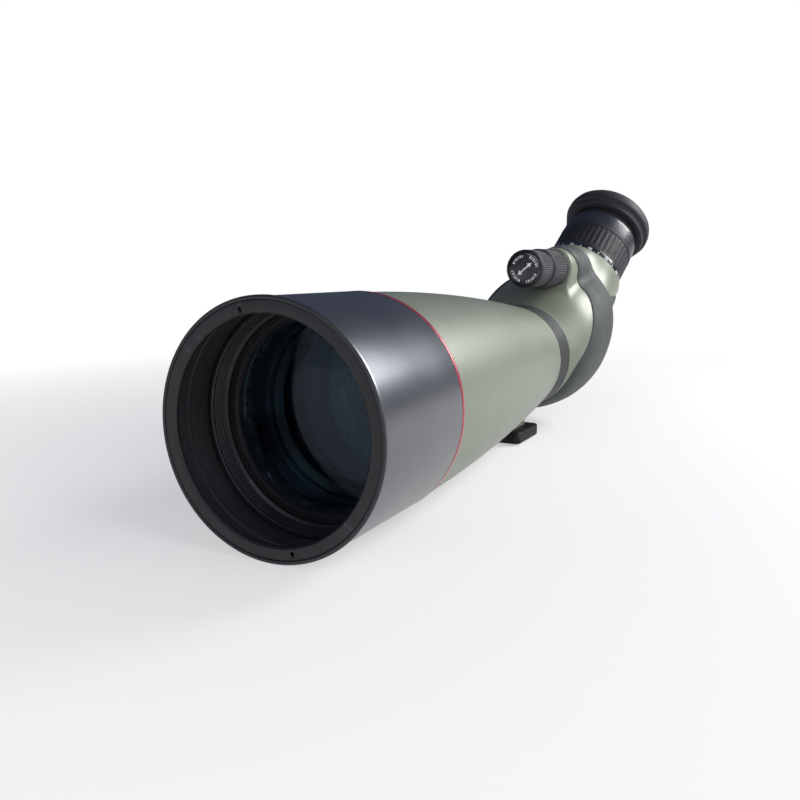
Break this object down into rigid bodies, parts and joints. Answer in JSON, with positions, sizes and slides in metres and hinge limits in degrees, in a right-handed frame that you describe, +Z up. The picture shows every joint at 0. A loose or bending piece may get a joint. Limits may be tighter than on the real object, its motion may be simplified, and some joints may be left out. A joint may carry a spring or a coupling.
{
  "type": "spotting scope",
  "caption": "Angled spotting scope with a bulging tube, sliding sunshade, dual focus knob, zoom eyepiece, twist-up eyecup and turning mount collar with a tripod foot.",
  "frame": {"origin": "centre of the tripod thread's mouth, in the foot's flat underside", "axes": "+Z up; the optical axis is parallel to Y, with the objective facing -Y and the eyepiece at +Y"},
  "size_m": [0.1034, 0.4325, 0.1633],
  "materials": {
    "green_paint": "fine satin sage green enamel",
    "dark_anodised": "satin dark grey anodised",
    "black_anodised": "black anodised, matt",
    "red_anodised": "gloss red",
    "grey_rubber": "matt, fine grained",
    "black_rubber": "matt",
    "black_plastic": "gloss black",
    "dark_plastic": "satin black",
    "pale_plastic": "satin pale grey",
    "coated_glass": "green and violet coating",
    "clear_glass": "polished",
    "steel": "bright",
    "brass": "machined"
  },
  "bodies": {
    "mount": {"mount_collar": "green_paint", "thrust_ring": "pale_plastic", "foot_plate": "black_anodised", "foot_screws": "steel", "lock_bush": "brass", "lock_pad": "pale_plastic"},
    "scope": {"red_ring": "red_anodised", "objective_cell": "black_anodised", "objective_retainer": "black_anodised", "lens_seal": "black_rubber", "objective_front_lens": "coated_glass", "lens_spacer": "black_anodised", "objective_rear_lens": "coated_glass", "objective_tube": "green_paint", "front_baffle": "black_anodised", "rear_baffle": "black_anodised", "grip_band": "grey_rubber", "prism_housing": "green_paint", "rubber_armour": "grey_rubber", "roof_prism": "clear_glass", "prism_cradle": "black_anodised", "prism_clamp": "steel", "cradle_screws": "steel", "rod_ring": "black_anodised", "guide_rods": "steel", "focus_bush": "brass", "eyepiece_barrel": "black_anodised", "scale_ring": "black_plastic", "field_lens": "clear_glass", "field_stop": "black_anodised", "eye_lens": "coated_glass", "eye_retainer": "black_anodised", "eyecup_base": "dark_plastic"},
    "lock_knob": {"lock_knob": "dark_plastic", "lock_screw": "steel"},
    "sunshade": {"sunshade_tube": "dark_anodised", "front_trim_ring": "black_anodised", "sunshade_glide": "dark_plastic"},
    "focus_carriage": {"focus_carriage": "black_anodised", "focus_lens": "clear_glass"},
    "coarse_knob": {"coarse_shaft": "steel", "coarse_grip": "black_rubber"},
    "fine_knob": {"fine_shaft": "steel", "fine_grip": "black_rubber", "fine_cap": "black_plastic"},
    "zoom_ring": {"zoom_grip": "black_rubber", "zoom_cam": "black_anodised"},
    "front_zoom_group": {"front_zoom_cell": "black_anodised", "front_zoom_lens": "clear_glass"},
    "rear_zoom_group": {"rear_zoom_cell": "black_anodised", "rear_zoom_lens": "clear_glass"},
    "eyecup_guide": {"eyecup_guide": "dark_plastic"},
    "eyecup": {"eyecup_sleeve": "dark_plastic", "eyecup_rubber": "black_rubber"}
  },
  "joints": [
    {"name": "scope_turn", "type": "hinge", "parent": "mount", "child": "scope", "pos_m": [0, -0.004, 0.049], "axis": [0, 1, 0], "range_deg": [-104, 76]},
    {"name": "lock_knob_turn", "type": "hinge", "parent": "mount", "child": "lock_knob", "pos_m": [-0.045, -0.0075, 0.049], "axis": [1, 0, 0], "range_deg": [0, 270]},
    {"name": "sunshade_slide", "type": "slide", "parent": "scope", "child": "sunshade", "axis": [0, -1, 0], "range_m": [0, 0.03]},
    {"name": "coarse_focus_turn", "type": "hinge", "parent": "scope", "child": "coarse_knob", "pos_m": [0.01418, 0.021, 0.10586], "axis": [0, 1, 0], "range_deg": [-450, 450]},
    {"name": "fine_focus_turn", "type": "hinge", "parent": "coarse_knob", "child": "fine_knob", "pos_m": [0.01418, 0.021, 0.10586], "axis": [0, 1, 0], "range_deg": [-720, 720]},
    {"name": "focus_travel", "type": "slide", "parent": "scope", "child": "focus_carriage", "axis": [0, 1, 0], "range_m": [-0.0065, 0.0065]},
    {"name": "zoom_turn", "type": "hinge", "parent": "scope", "child": "zoom_ring", "pos_m": [0.01711, 0.13871, 0.11761], "axis": [0.1711, 0.7071, 0.6861], "range_deg": [0, 100]},
    {"name": "front_zoom_travel", "type": "slide", "parent": "scope", "child": "front_zoom_group", "axis": [0.1711, 0.7071, 0.6861], "range_m": [0, 0.0046]},
    {"name": "rear_zoom_travel", "type": "slide", "parent": "scope", "child": "rear_zoom_group", "axis": [0.1711, 0.7071, 0.6861], "range_m": [-0.0046, 0]},
    {"name": "eyecup_rise", "type": "slide", "parent": "scope", "child": "eyecup_guide", "axis": [0.1711, 0.7071, 0.6861], "range_m": [0, 0.008]},
    {"name": "eyecup_twist", "type": "hinge", "parent": "eyecup_guide", "child": "eyecup", "pos_m": [0.01711, 0.13871, 0.11761], "axis": [0.1711, 0.7071, 0.6861], "range_deg": [0, 120]}
  ],
  "couplings": [
    {"joint": "focus_travel", "follows": "coarse_focus_turn", "m_per_rad": 0.00082752},
    {"joint": "front_zoom_travel", "follows": "zoom_turn", "m_per_rad": 0.0026353},
    {"joint": "rear_zoom_travel", "follows": "zoom_turn", "m_per_rad": -0.0026353},
    {"joint": "eyecup_rise", "follows": "eyecup_twist", "m_per_rad": 0.0038193}
  ]
}
